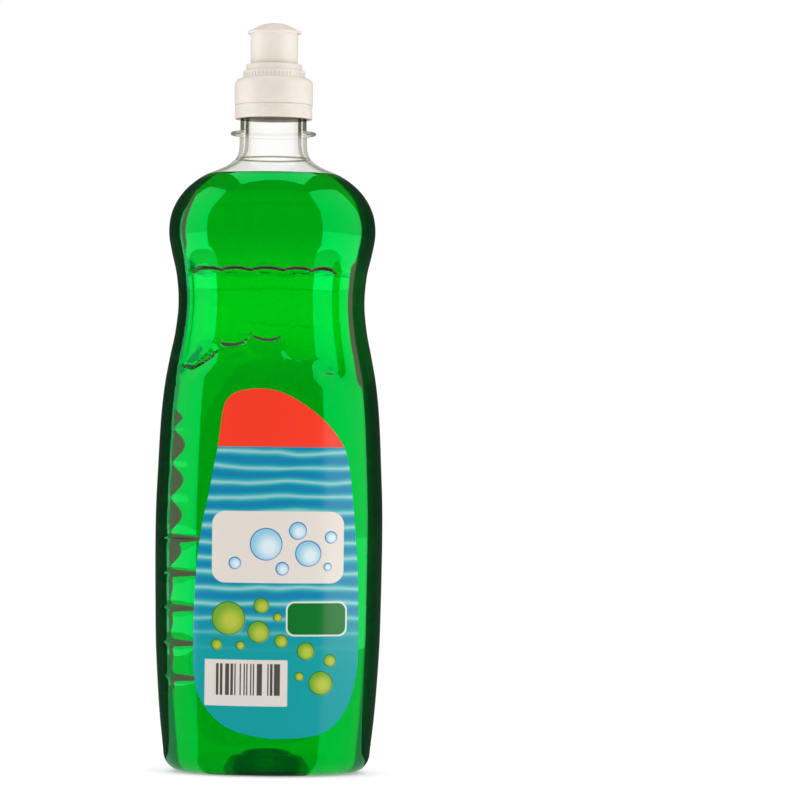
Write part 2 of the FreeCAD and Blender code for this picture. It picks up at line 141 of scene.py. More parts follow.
def deselect_all():
    """Leaves nothing selected in object mode."""
    if bpy.context.object and bpy.context.object.mode != "OBJECT":
        bpy.ops.object.mode_set(mode="OBJECT")
    bpy.ops.object.select_all(action="DESELECT")


def at_height(stations, height):
    """Reads a smooth curve through stations of (height, value, ...) at one height."""
    if height <= stations[0][0]:
        return stations[0][1:]
    if height >= stations[-1][0]:
        return stations[-1][1:]
    last = len(stations) - 1
    index = next(i for i in range(last) if stations[i + 1][0] >= height)
    low, high = stations[index], stations[index + 1]
    before, after = stations[max(index - 1, 0)], stations[min(index + 2, last)]
    span = high[0] - low[0]
    share = (height - low[0]) / span
    values = []
    for column in range(1, len(low)):
        slope_low = (high[column] - before[column]) / (high[0] - before[0]) * span
        slope_high = (after[column] - low[column]) / (after[0] - low[0]) * span
        values.append(
            (2 * share**3 - 3 * share**2 + 1) * low[column]
            + (share**3 - 2 * share**2 + share) * slope_low
            + (3 * share**2 - 2 * share**3) * high[column]
            + (share**3 - share**2) * slope_high
        )
    return values


def half_sizes(height):
    """Half width and half depth of the outside at one height."""
    if height >= BASE_CORNER:
        return at_height(BODY_STATIONS, height)
    _, wide, deep = BODY_STATIONS[0]
    rise = BASE_CORNER - max(height, 0.0)
    inward = BASE_CORNER - math.sqrt(max(BASE_CORNER**2 - rise**2, 0.0))
    return wide - inward, deep - inward


def wall_at(height):
    """Level thickness of the wall at one height."""
    return at_height(WALL_STATIONS, height)[0]


def heights(low, high, step):
    """Evenly spaced heights from low to high."""
    count = max(1, round((high - low) / step))
    return [low + (high - low) * i / count for i in range(count + 1)]


def soften(corners, radius, steps=3):
    """Rounds the corners of an outline of (radius, height) points."""
    softened = [corners[0]]
    for before, corner, after in zip(corners, corners[1:], corners[2:]):
        start = Vector(before) - Vector(corner)
        end = Vector(after) - Vector(corner)
        if start.length < 1e-6 or end.length < 1e-6 or start.angle(end) > math.radians(160):
            softened.append(corner)
            continue
        reach = min(radius, start.length * 0.45, end.length * 0.45)
        first = Vector(corner) + start.normalized() * reach
        last = Vector(corner) + end.normalized() * reach
        for step in range(steps + 1):
            share = step / steps
            place = (first * (1 - share) ** 2 + Vector(corner) * 2 * share * (1 - share)
                     + last * share**2)
            softened.append((place.x, place.y))
    softened.append(corners[-1])
    return softened


def spun(name, outline, steps=SPIN_STEPS):
    """Turns an outline of (radius, height) points in millimetres about the upright axis."""
    deselect_all()
    bpy.ops.mesh.primitive_circle_add(vertices=3, radius=MM)
    piece = bpy.context.object
    piece.name = name
    piece.data.name = name
    bpy.ops.object.mode_set(mode="EDIT")
    bpy.ops.mesh.select_all(action="SELECT")
    bpy.ops.mesh.merge(type="CENTER")
    bpy.ops.transform.translate(value=(outline[0][0] * MM, 0, outline[0][1] * MM))
    for before, after in zip(outline, outline[1:]):
        move = ((after[0] - before[0]) * MM, 0, (after[1] - before[1]) * MM)
        bpy.ops.mesh.extrude_vertices_move(TRANSFORM_OT_translate={"value": move})
    bpy.ops.mesh.select_all(action="SELECT")
    bpy.ops.mesh.spin(steps=steps, angle=math.tau, center=(0, 0, 0), axis=(0, 0, 1))
    bpy.ops.mesh.select_all(action="SELECT")
    bpy.ops.mesh.remove_doubles(threshold=0.002 * MM)
    bpy.ops.mesh.normals_make_consistent(inside=False)
    bpy.ops.object.mode_set(mode="OBJECT")
    return piece


def smooth(piece, angle=40):
    """Shades a piece smooth up to an angle."""
    deselect_all()
    piece.select_set(True)
    bpy.context.view_layer.objects.active = piece
    bpy.ops.object.shade_smooth_by_angle(angle=math.radians(angle))


def ease(share):
    """Rises smoothly from 0 to 1 as the share goes from 0 to 1."""
    share = min(max(share, 0.0), 1.0)
    return share * share * (3 - 2 * share)


def band(height, stretch):
    """Strength of a stretch of (strength, low, high, soft ends) at one height."""
    strength, low, high, soft = stretch
    return strength * ease((height - low) / soft) * ease((high - height) / soft)


def grip(angle, height):
    """Depth of the waist flutes, and share of a crease, at one angle round the oval and height."""
    middle, half, foot, slant, strength = min(
        FLUTES, key=lambda flute: abs(angle - flute[0]) / flute[1])
    across = abs(angle - middle) / half
    if across > FLUTE_REACH or not GRIP_LOW < height < GRIP_HIGH:
        return 0.0, 0.0
    arch = math.sqrt(max(1 - across**2, 0.0))
    top = GRIP_TOP + GRIP_ARCH * arch
    low = foot - GRIP_ARCH * arch + slant * (angle - middle) / half
    depth = min((top - height) / GRIP_SLOPE, (height - low) / GRIP_SLOPE, 1.0)
    if depth <= 0:
        return 0.0, 0.0
    depth = GRIP_DEPTH * depth * (1 - GRIP_RIDGE * min(across, 1.0) ** 8)
    crease = 0.0
    edges = ((GRIP_TOP - GRIP_SLOPE + 0.5 * GRIP_ARCH * arch, 1.0), (low + GRIP_SLOPE, strength))
    for edge, share in edges:
        crest = math.exp(-((height - edge) / CREASE_HALF_HEIGHT) ** 2)
        crease += share * max(crest * 1.2 - 0.2, 0.0)
    fade = ease((FLUTE_REACH - across) / FLUTE_FADE)
    return (depth + CREASE_DEPTH * crease) * fade, crease * fade


def rib(angle, height, shape):
    """Share of the nearest flank rib of one shape at one angle round the oval and one height."""
    number = min(max(round((height - RIB_FIRST) / RIB_PITCH), 0), RIB_COUNT - 1)
    if shape is NARROW_RIB and number > NARROW_LAST:
        return 0.0
    _, half_height, middle, half_angle = shape
    rise = height - RIB_FIRST - RIB_PITCH * number
    along = min(abs(angle - middle) / half_angle, 1.0)
    return (1 - along**4) * math.exp(-(rise / half_height) ** 2)


def pressed_depth(x, y, wide, deep, height):
    """How far the mould presses the wall inward at one place, in millimetres."""
    angle = math.degrees(math.atan2(x / wide, abs(y) / deep))
    depth = grip(angle, height)[0]
    if y < 0 and x < 0 and height < RIB_TOP:
        for shape in (BROAD_RIB, NARROW_RIB):
            depth += shape[0] * rib(-angle, height, shape)
    return depth


def painted_shade_at(x, y, wide, deep, height):
    """How much painted grey shade the thick front wall takes at a place: up to 1 it greys near the
    edge, from 3 on everywhere.
    """
    if y > 0:
        return 0.0
    angle = math.degrees(math.atan2(x / wide, -y / deep))
    fold = CREASE_SHADE * grip(angle, height)[1]
    flank = ease((abs(angle) - FLANK_ANGLE) / FLANK_SOFT)
    if x > 0:
        return fold + flank * band(height, RIGHT_FLANK_SHADE)
    lobe = flank * abs(math.sin(math.pi * (height - RIB_FIRST - 2.0) / RIB_PITCH))
    fold += lobe * (band(height, LOWER_FLANK_SHADE) + band(height, RIB_GAP_SHADE))
    fold += flank * band(height, SHOULDER_FLANK_SHADE)
    if height < RIB_TOP:
        fold += RIB_SHADE * rib(-angle, height, NARROW_RIB)
    return fold


def blow(piece):
    """Makes a turned piece oval and presses the flutes and ribs into it."""
    for vertex in piece.data.vertices:
        height = vertex.co.z / MM
        if height >= NECK_FOOT or height < -0.01:
            continue
        wide, deep = half_sizes(height)
        x = vertex.co.x / MM
        y = vertex.co.y / MM * deep / wide
        radius = math.hypot(vertex.co.x, vertex.co.y) / MM
        if radius > 0.8 * wide:
            depth = pressed_depth(x, y, wide, deep, height)
            if depth > 0:
                out = Vector((x / wide**2, y / deep**2)).normalized()
                x -= out.x * depth
                y -= out.y * depth
        vertex.co.x = x * MM
        vertex.co.y = y * MM


def mark_painted_shade(piece):
    """Notes on each vertex of the bottle, as its fold, how much painted grey shade its wall takes,
    for the material to read.
    """
    fold = piece.data.attributes.new("fold", "FLOAT", "POINT")
    for vertex in piece.data.vertices:
        height = vertex.co.z / MM
        if 0 < height < NECK_FOOT:
            wide, deep = half_sizes(height)
            fold.data[vertex.index].value = painted_shade_at(
                vertex.co.x / MM, vertex.co.y / MM, wide, deep, height)


def pushup(low):
    """Outline of the hollow under the base, from its middle outward."""
    return [(radius, low + rise) for radius, rise in PUSHUP]


def side(inset, foot, top):
    """Outline of the body's side from the foot up, moved inward by a share of the wall."""
    places = []
    for i in range(9):
        angle = math.radians(10 * i)
        radius = BASE_CORNER - inset * BODY_WALL
        places.append((BODY_STATIONS[0][1] - inset * BODY_WALL - radius * (1 - math.sin(angle)),
                       foot + (BASE_CORNER - foot) * (1 - math.cos(angle))))
    levels = heights(BASE_CORNER, 28, 2.5)
    for number in range(RIB_COUNT):
        middle = RIB_FIRST + RIB_PITCH * number
        levels += [middle + step for step in RIB_ROWS]
    levels += heights(138, 146, 2.0) + heights(147, 172, 0.42) + heights(173.5, 187, 1.5)
    levels += heights(188.5, 196, 0.4) + heights(197, top, 1.0)
    for height in levels:
        places.append((half_sizes(height)[0] - inset * wall_at(height), height))
    return places


# Bottle: one blown piece of PET with its neck finish
outside = pushup(0.0) + side(0.0, 0.0, NECK_FOOT)
finish = soften([
    (NECK_RADIUS, NECK_FOOT + 0.2),
    (NECK_RADIUS, 245.1),
    (16.5, 245.7),
    (16.5, 246.6),
    (12.8, 247.3),
    (12.8, 253.4),
    (13.8, 253.9),
    (12.55, 255.4),
    (12.55, NECK_TOP),
    (BORE_RADIUS, NECK_TOP),
    (BORE_RADIUS, NECK_FOOT),
], 0.35)
inside = side(1.0, BASE_WALL, NECK_FOOT - 0.2)[::-1]
inside += pushup(BASE_WALL)[::-1]
bottle = spun("pet_bottle", outside + finish + inside)
blow(bottle)
mark_painted_shade(bottle)
smooth(bottle)

# Soap: fills the bottle up into the shoulder, with its outside halfway into the wall
soap_outline = pushup(BASE_WALL / 2) + side(0.5, BASE_WALL / 2, FILL_HEIGHT)
rim = soap_outline[-1][0]
soap_outline += [(rim - 0.4, FILL_HEIGHT - 0.25), (rim - 1.4, FILL_HEIGHT - 0.6),
                 (rim - 3.0, FILL_HEIGHT - 0.75), (0.0, FILL_HEIGHT - 0.75)]
soap = spun("soap", soap_outline)
blow(soap)
smooth(soap)

# Label outline, sideways and upward, in millimetres
LABEL_OUTLINE = [
    (-19.7, 125.8), (-18.2, 137.8), (-16.6, 143.0), (-12.6, 146.3), (-4.3, 147.6),
    (4.2, 146.3), (12.5, 142.0), (19.9, 136.4), (25.1, 130.6), (28.7, 124.6),
    (30.5, 117.0), (32.1, 103.4), (33.2, 89.9), (34.2, 72.6), (34.5, 47.5),
    (33.6, 37.4), (31.6, 29.4), (27.8, 22.2), (22.6, 17.7), (16.0, 15.5),
    (6.1, 14.8), (-1.6, 15.1), (-11.7, 17.3), (-18.4, 20.9), (-23.6, 26.3),
    (-26.6, 32.2), (-28.1, 40.0), (-28.4, 50.0), (-28.2, 64.0), (-27.2, 81.8),
    (-25.4, 96.0), (-22.9, 108.0), (-21.2, 118.0),
]
LABEL_MIDDLE = (3.0, 80.0)
LABEL_LIFT = 0.16
LABEL_RINGS = 34
LABEL_CORNERS = 240
LABEL_FILM = 0.06


def around(points, share):
    """A smooth closed curve through points, read at a share of the way round."""
    count = len(points)
    place = share * count
    index = int(place) % count
    part = place - int(place)
    before, low, high, after = (Vector(points[(index + i) % count]) for i in (-1, 0, 1, 2))
    return 0.5 * (2 * low + (high - before) * part
                  + (2 * before - 5 * low + 4 * high - after) * part**2
                  + (3 * low - before - 3 * high + after) * part**3)


def front_face(x, height, lift):
    """Depth of the front of the bottle at one place, raised off the wall."""
    wide, deep = half_sizes(height)
    return -(deep + lift) * math.sqrt(max(1 - (x / (wide + lift)) ** 2, 0.0))


def make_label():
    """Cuts the label film to its outline and lays it on the front of the bottle."""
    deselect_all()
    bpy.ops.mesh.primitive_circle_add(vertices=LABEL_CORNERS, radius=0.03)
    piece = bpy.context.object
    piece.name = "label_sheet"
    for vertex in piece.data.vertices:
        place = around(LABEL_OUTLINE, vertex.index / LABEL_CORNERS)
        vertex.co = (place.x * MM, 0, place.y * MM)
    bpy.ops.object.mode_set(mode="EDIT")
    bpy.ops.mesh.select_all(action="SELECT")
    middle = (LABEL_MIDDLE[0] * MM, 0, LABEL_MIDDLE[1] * MM)
    for ring in range(LABEL_RINGS, 1, -1):
        shrink = (ring - 1) / ring
        bpy.ops.mesh.extrude_edges_move()
        bpy.ops.transform.resize(value=(shrink,) * 3, center_override=middle)
    bpy.ops.mesh.edge_face_add()
    bpy.ops.mesh.poke()
    bpy.ops.object.mode_set(mode="OBJECT")
    for vertex in piece.data.vertices:
        vertex.co.y = front_face(vertex.co.x / MM, vertex.co.z / MM, LABEL_LIFT) * MM
    bpy.ops.object.mode_set(mode="EDIT")
    bpy.ops.mesh.select_all(action="SELECT")
    bpy.ops.mesh.normals_make_consistent(inside=False)
    bpy.ops.object.mode_set(mode="OBJECT")
    if piece.data.polygons[0].normal.y > 0:
        piece.data.flip_normals()
    film = piece.modifiers.new("film", "SOLIDIFY")
    film.thickness = LABEL_FILM * MM
    film.offset = 0
    bpy.ops.object.modifier_apply(modifier=film.name)
    smooth(piece, 60)
    return piece


label = make_label()

# Tamper band
tamper_band = spun("cap_tamper_band", soften([
    (13.15, 251.8), (14.9, 251.8), (14.9, 253.1), (14.82, 253.2), (14.82, 253.35),
    (14.9, 253.45), (14.9, 254.3), (14.82, 254.4), (14.82, 254.55), (14.9, 254.65),
    (14.9, 255.5), (14.82, 255.6), (14.82, 255.75), (14.9, 255.85), (14.9, 257.15),
    (14.1, 257.15), (14.1, 253.3), (13.15, 252.9), (13.15, 251.8),
], 0.2), 120)
smooth(tamper_band)

# Screw cap with stepped collar, hollow post and plug seal
CAP_STEPS = 144
COLLAR_RADIUS = 12.0
NOTCH_LOW = 268.4
NOTCH_HIGH = 269.5
NOTCH_SPACING = 3
cap = spun("cap_shell", soften([
    (14.0, 258.5), (14.0, 257.2), (15.1, 257.2), (15.1, 265.0)], 0.25)
    + [(12.6 + 2.5 * math.cos(math.radians(a)), 265.0 + 2.5 * math.sin(math.radians(a)))
       for a in (15, 30, 45, 60, 75)]
    + soften([
        (12.6, 267.5), (12.0, 267.5), (12.0, 268.3), (12.0, 269.6), (12.0, 270.3),
        (10.8, 270.3), (10.8, 272.9), (9.45, 272.9), (9.45, 267.5), (6.4, 267.5),
        (6.4, 280.5), (6.9, 280.5), (6.4, 281.5), (5.0, 281.5), (5.0, 265.6),
        (9.6, 265.6), (9.6, 262.6), (10.05, 262.6), (10.5, 263.2), (10.5, 265.6),
        (14.0, 265.6), (14.0, 258.5)], 0.3), CAP_STEPS)


def notch_collar(piece):
    """Presses small upright notches into the lower step of the collar, all the way round."""
    deselect_all()
    for part in (*piece.data.vertices, *piece.data.edges):
        part.select = False
    bpy.context.view_layer.objects.active = piece
    for polygon in piece.data.polygons:
        middle = polygon.center
        step = round(math.degrees(math.atan2(middle.y, middle.x)) / (360 / CAP_STEPS) - 0.5)
        on_wall = abs(middle.xy.length / MM - COLLAR_RADIUS) < 0.05
        in_row = NOTCH_LOW < middle.z / MM < NOTCH_HIGH
        polygon.select = on_wall and in_row and step % NOTCH_SPACING == 0
    bpy.ops.object.mode_set(mode="EDIT")
    bpy.ops.mesh.inset(thickness=0.06 * MM, depth=-0.2 * MM, use_individual=True)
    bpy.ops.object.mode_set(mode="OBJECT")


notch_collar(cap)
smooth(cap, 35)

# Spider and sealing pin inside the cap
pin = spun("cap_sealing_pin", soften([
    (0.0, 278.0), (1.75, 278.0), (1.75, 288.4), (0.0, 288.4)], 0.3), 48)
smooth(pin)


def make_spider():
    """Three like legs that hold the pin inside the post."""
    deselect_all()
    bpy.ops.mesh.primitive_cube_add(size=MM, location=(2.7 * MM, 0, 279.0 * MM))
    leg = bpy.context.object
    leg.name = "cap_spider"
    leg.scale = (5.4, 1.2, 2.0)
    bpy.ops.object.transform_apply(location=True, rotation=True, scale=True)
    edge = leg.modifiers.new("edge", "BEVEL")
    edge.width = 0.2 * MM
    edge.segments = 2
    bpy.ops.object.modifier_apply(modifier=edge.name)
    for turn in (120, 240):
        copy = leg.copy()
        copy.data = leg.data.copy()
        bpy.context.scene.collection.objects.link(copy)
        copy.rotation_euler.z = math.radians(turn)
        copy.select_set(True)
    bpy.ops.object.transform_apply(location=True, rotation=True, scale=True)
    leg.select_set(True)
    bpy.context.view_layer.objects.active = leg
    bpy.ops.object.join()
    return leg


spider = make_spider()
smooth(spider)

# Push-pull spout
spout = spun("cap_spout", soften([
    (7.2, 268.5), (7.2, 267.8), (9.15, 267.8), (9.15, 284.7), (10.35, 284.7),
    (10.35, 285.7), (9.0, 286.1), (7.6, 286.95), (5.7, 287.9), (4.2, 288.4), (2.9, 288.7),
    (2.05, 288.7), (2.05, 287.0), (7.2, 283.0), (7.2, 275.7), (6.7, 275.15), (7.2, 274.6),
    (7.2, 268.5),
], 0.35), 144)
smooth(spout, 35)


def wound_ridge(name, wall, crest, low, turns, pitch, root, tip):
    """Winds a thread ridge of a flat-topped profile up its wall, with ends that run out."""
    deselect_all()
    bpy.ops.mesh.primitive_plane_add(size=MM)
    piece = bpy.context.object
    piece.name = name
    corners = ((wall, -root), (crest, -tip), (crest, tip), (wall, root))
    for vertex, (across, up) in zip(loop_order(piece), corners):
        vertex.co = Vector((across, 0, low + up)) * MM
    winding = piece.modifiers.new("winding", "SCREW")
    winding.angle = math.tau * turns
    winding.screw_offset = pitch * turns * MM
    winding.steps = round(72 * turns)
    winding.render_steps = winding.steps
    winding.use_merge_vertices = False
    bpy.ops.object.modifier_apply(modifier=winding.name)
    for vertex in piece.data.vertices:
        radius = vertex.co.xy.length / MM
        rise = vertex.co.z / MM - low
        turn = rise / pitch
        run_out = min(1.0, max(turn, 0.0) * 7, max(turns - turn, 0.0) * 7)
        shrunk = wall + (radius - wall) * max(run_out, 0.05)
        vertex.co.xy *= shrunk / radius
    bpy.ops.object.mode_set(mode="EDIT")
    bpy.ops.mesh.select_all(action="SELECT")
    bpy.ops.mesh.fill_holes(sides=4)
    bpy.ops.mesh.normals_make_consistent(inside=False)
    bpy.ops.object.mode_set(mode="OBJECT")
    smooth(piece, 50)
    return piece


def loop_order(piece):
    """The vertices of a one-faced piece in their order round the face."""
    return [piece.data.vertices[i] for i in piece.data.polygons[0].vertices]


THREAD_PITCH = 3.18
neck_thread = wound_ridge("neck_thread", 12.45, 13.65, 258.4, 1.6, THREAD_PITCH, 0.75, 0.4)
cap_thread = wound_ridge("cap_thread", 14.1, 12.95, 260.0, 1.2, THREAD_PITCH, 0.7, 0.35)

# Materials


def colour(code):
    """Turns an sRGB hex value into linear colour."""
    channels = [int(code[i:i + 2], 16) / 255 for i in (1, 3, 5)]
    linear = [c / 12.92 if c <= 0.04045 else ((c + 0.055) / 1.055) ** 2.4 for c in channels]
    return (*linear, 1.0)


def new_tree(owner):
    """Gives a material or world an empty node tree."""
    owner.use_nodes = True
    owner.node_tree.nodes.clear()
    return owner.node_tree


def add_node(tree, kind, settings=None, inputs=None, stops=None):
    """Adds a node; an input is a value, a socket, or a node whose first output is used."""
    node = tree.nodes.new(kind)
    for name, value in (settings or {}).items():
        setattr(node, name, value)
    for name, value in (inputs or {}).items():
        if isinstance(value, bpy.types.Node):
            value = value.outputs[0]
        if isinstance(value, bpy.types.NodeSocket):
            tree.links.new(value, node.inputs[name])
        else:
            node.inputs[name].default_value = value
    for index, (place, code) in enumerate(stops or []):
        elements = node.color_ramp.elements
        element = elements[index] if index < len(elements) else elements.new(place)
        element.position = place
        element.color = colour(code)
    return node


def turned_away(tree, height):
    """How far a face turns from the eye, less so on the slopes of the shoulder and the base; the
    soap and the wall paint their shade by it.
    """
    shoulder = add_node(tree, "ShaderNodeMapRange", inputs={
        "Value": height, "From Min": 206 * MM, "From Max": 222 * MM,
        "To Min": 1.0, "To Max": 0.25})
    base = add_node(tree, "ShaderNodeMapRange", inputs={
        "Value": height, "From Min": 4 * MM, "From Max": 12 * MM,
        "To Min": 0.4, "To Max": 1.0})
    level = add_node(tree, "ShaderNodeMath", {"operation": "MULTIPLY"}, {0: shoulder, 1: base})
    scale = add_node(tree, "ShaderNodeCombineXYZ", inputs={0: 1.0, 1: 1.0, 2: level})
    normal = add_node(tree, "ShaderNodeNewGeometry").outputs["Normal"]
    eased = add_node(tree, "ShaderNodeVectorMath", {"operation": "MULTIPLY"},
                     {0: normal, 1: scale})
    eased = add_node(tree, "ShaderNodeVectorMath", {"operation": "NORMALIZE"}, {0: eased})
    plain = add_node(tree, "ShaderNodeLayerWeight", inputs={0: 0.5})
    flat = add_node(tree, "ShaderNodeLayerWeight", inputs={0: 0.5, "Normal": eased})
    return add_node(tree, "ShaderNodeMath", {"operation": "MINIMUM"},
                    {0: plain.outputs["Facing"], 1: flat.outputs["Facing"]})


def object_height(tree):
    """Height above the floor."""
    place = add_node(tree, "ShaderNodeTexCoord").outputs["Object"]
    return add_node(tree, "ShaderNodeSeparateXYZ", inputs={0: place}).outputs[2]


SOAP_GLOSS = "#00FF88"
# Height and half height of the painted grey line of shade at the foot of the neck
NECK_SHADE_LINE = 236.5
NECK_SHADE_LINE_HALF = 0.28


def painted_grey(tree, edge, fold):
    """1 where the filled wall, seen from outside, takes painted grey shade: in folds and beside the
    painted dark edge.
    """
    grey_shade = add_node(tree, "ShaderNodeMath", {"operation": "MULTIPLY_ADD"},
                      {0: fold, 1: 0.15, 2: edge})
    start = add_node(tree, "ShaderNodeMapRange", inputs={
        "Value": grey_shade, "From Min": 0.366, "From Max": 0.38})
    stop = add_node(tree, "ShaderNodeMapRange", inputs={
        "Value": edge, "From Min": 0.38, "From Max": 0.355})
    share = add_node(tree, "ShaderNodeMath", {"operation": "MULTIPLY"}, {0: start, 1: stop})
    behind = add_node(tree, "ShaderNodeNewGeometry").outputs["Backfacing"]
    outside = add_node(tree, "ShaderNodeMath", {"operation": "SUBTRACT"}, {0: 1.0, 1: behind})
    return add_node(tree, "ShaderNodeMath", {"operation": "MULTIPLY"}, {0: share, 1: outside})


def blown_pet():
    """PET, stretch-blown: clear and glossy, with painted grey shade in its folds and on its flanks,
    a thin clear sheet with painted dark edges where empty.
    """
    material = bpy.data.materials.new("blown PET")
    tree = new_tree(material)
    height = object_height(tree)
    edge = turned_away(tree, height)
    fold = add_node(tree, "ShaderNodeAttribute", {"attribute_name": "fold"}).outputs["Fac"]
    # Wall with soap behind it
    wall = add_node(tree, "ShaderNodeBsdfPrincipled", inputs={
        "Base Color": colour("#FDFDFA"), "Roughness": 0.015, "IOR": 1.575,
        "Transmission Weight": 1.0, "Specular IOR Level": 1.0,
        "Specular Tint": colour(SOAP_GLOSS)})
    gloss = add_node(tree, "ShaderNodeBsdfGlossy", inputs={
        "Color": colour(SOAP_GLOSS), "Roughness": 0.015})
    wall = add_node(tree, "ShaderNodeMixShader", inputs={0: 0.15, 1: wall, 2: gloss})
    # Painted grey shade, grey-green to near black, in the creases, ribs and flanks: painted shade
    # and a painted dim reflection of the room in the thick wall
    grey = add_node(tree, "ShaderNodeValToRGB", inputs={
        0: add_node(tree, "ShaderNodeMath", {"operation": "MULTIPLY"}, {0: fold, 1: 0.2})},
        stops=[(0.68, "#4C5942"), (0.76, "#1A2618")])
    grey_shade = add_node(tree, "ShaderNodeBsdfDiffuse", inputs={"Color": grey})
    wall = add_node(tree, "ShaderNodeMixShader", inputs={
        0: painted_grey(tree, edge, fold), 1: wall, 2: grey_shade})
    # Empty shoulder and neck: a clear sheet with painted dark edges and dark neck bars, standing in
    # for the shade that refraction in the thick wall gives
    shoulder = add_node(tree, "ShaderNodeValToRGB", inputs={0: edge}, stops=[
        (0.0, "#FFFFFF"), (0.8, "#FAFAF6"), (0.94, "#C8C8BC"), (1.0, "#7C7C70")])
    bars = add_node(tree, "ShaderNodeValToRGB", inputs={0: edge}, stops=[
        (0.0, "#FFFFFF"), (0.5, "#FBFBF7"), (0.55, "#A8A89C"), (0.8, "#A8A89C"),
        (0.9, "#CFCFC4"), (1.0, "#96968C")])
    neck = add_node(tree, "ShaderNodeMapRange", inputs={
        "Value": height, "From Min": 244 * MM, "From Max": 247 * MM, "To Min": 0.35})
    tint = add_node(tree, "ShaderNodeMix", {"data_type": "RGBA"},
                    {0: neck, 6: shoulder, 7: bars}).outputs[2]
    # Painted grey line of shade round the foot of the neck
    neck_foot_shade = add_node(tree, "ShaderNodeMath", {"operation": "COMPARE"},
                         {0: height, 1: NECK_SHADE_LINE * MM, 2: NECK_SHADE_LINE_HALF * MM})
    tint = add_node(tree, "ShaderNodeMix", {"data_type": "RGBA"},
                    {0: neck_foot_shade, 6: tint, 7: colour("#C4C4B4")}).outputs[2]
    sheet = add_node(tree, "ShaderNodeBsdfTransparent", inputs={"Color": tint})
    shine = add_node(tree, "ShaderNodeBsdfGlossy", inputs={"Roughness": 0.03})
    mirror = add_node(tree, "ShaderNodeMath", {"operation": "MULTIPLY"}, {
        0: add_node(tree, "ShaderNodeFresnel", inputs={"IOR": 1.45}), 1: 0.1})
    sheet = add_node(tree, "ShaderNodeMixShader", inputs={0: mirror, 1: sheet, 2: shine})
    empty = add_node(tree, "ShaderNodeMapRange", inputs={
        "Value": height, "From Min": (FILL_HEIGHT - 0.3) * MM, "From Max": FILL_HEIGHT * MM})
    shader = add_node(tree, "ShaderNodeMixShader", inputs={0: empty, 1: wall, 2: sheet})
    add_node(tree, "ShaderNodeOutputMaterial", inputs={0: shader})
    return material


def dish_soap():
    """Dish soap, a clear dyed liquid: bright green in depth, with painted near-black shade where it
    turns away and round the rim of its top surface.
    """
    material = bpy.data.materials.new("green dish soap")
    tree = new_tree(material)
    height = object_height(tree)
    edge = turned_away(tree, height)
    waist = add_node(tree, "ShaderNodeMapRange", {"interpolation_type": "SMOOTHSTEP"}, {
        "Value": add_node(tree, "ShaderNodeMath", {"operation": "ABSOLUTE"}, {
            0: add_node(tree, "ShaderNodeMath", {"operation": "SUBTRACT"},
                        {0: height, 1: 180 * MM})}),
        "From Min": 8 * MM, "From Max": 30 * MM})
    green = add_node(tree, "ShaderNodeMix", {"data_type": "RGBA"}, {
        0: waist, 6: colour("#00F404"), 7: colour("#00CC02")}).outputs[2]
    # Painted shade: near black where the soap turns from the eye and round the rim of its top
    # surface, half as strong in the middle of the base
    dark = add_node(tree, "ShaderNodeMapRange", inputs={
        "Value": edge, "From Min": 0.118, "From Max": 0.128})
    level = add_node(tree, "ShaderNodeMapRange", inputs={
        "Value": height, "From Min": (FILL_HEIGHT - 1.1) * MM, "From Max": (FILL_HEIGHT - 0.6) * MM})
    up = add_node(tree, "ShaderNodeSeparateXYZ", inputs={
        0: add_node(tree, "ShaderNodeNewGeometry").outputs["Normal"]}).outputs[2]
    upright = add_node(tree, "ShaderNodeMapRange", inputs={
        "Value": up, "From Min": 0.95, "From Max": 0.85})
    dark = add_node(tree, "ShaderNodeMath", {"operation": "MAXIMUM"}, {0: dark, 1: level})
    dark = add_node(tree, "ShaderNodeMath", {"operation": "MULTIPLY"}, {0: dark, 1: upright})
    place = add_node(tree, "ShaderNodeVectorMath", {"operation": "MULTIPLY"}, {
        0: add_node(tree, "ShaderNodeTexCoord").outputs["Object"],
        1: (1 / (30 * MM), 1 / (18 * MM), 0)})
    reach = add_node(tree, "ShaderNodeVectorMath", {"operation": "LENGTH"}, {0: place})
    under = add_node(tree, "ShaderNodeMapRange", inputs={
        "Value": reach.outputs["Value"], "From Min": 0.9, "From Max": 1.0, "To Min": 0.5})
    dark = add_node(tree, "ShaderNodeMath", {"operation": "MULTIPLY"}, {0: dark, 1: under})
    tint = add_node(tree, "ShaderNodeMix", {"data_type": "RGBA"}, {
        0: dark, 6: green, 7: colour("#16180E")}).outputs[2]
    shader = add_node(tree, "ShaderNodeBsdfPrincipled", inputs={
        "Base Color": tint, "Roughness": 0.015, "IOR": 1.36, "Transmission Weight": 1.0,
        "Specular Tint": colour(SOAP_GLOSS)})
    add_node(tree, "ShaderNodeOutputMaterial", inputs={0: shader})
    return material


def moulded_polypropylene():
    """Polypropylene, injection moulded: warm white, satin, with a fine spark-eroded grain."""
    material = bpy.data.materials.new("moulded polypropylene")
    tree = new_tree(material)
    place = add_node(tree, "ShaderNodeTexCoord").outputs["Object"]
    grain = add_node(tree, "ShaderNodeTexNoise", inputs={
        "Vector": place, "Scale": 1 / (0.35 * MM), "Detail": 2.0})
    bump = add_node(tree, "ShaderNodeBump", inputs={
        "Strength": 0.1, "Distance": 0.02 * MM, "Height": grain})
    cloud = add_node(tree, "ShaderNodeTexNoise", inputs={
        "Vector": place, "Scale": 1 / (9 * MM), "Detail": 2.0})
    tint = add_node(tree, "ShaderNodeValToRGB", inputs={0: cloud}, stops=[
        (0.3, "#E3DBCF"), (0.7, "#EAE3D9")])
    shader = add_node(tree, "ShaderNodeBsdfPrincipled", inputs={
        "Base Color": tint, "Roughness": 0.4, "IOR": 1.49, "Normal": bump,
        "Subsurface Weight": 0.15, "Subsurface Scale": 1.5 * MM})
    add_node(tree, "ShaderNodeOutputMaterial", inputs={0: shader})
    return material


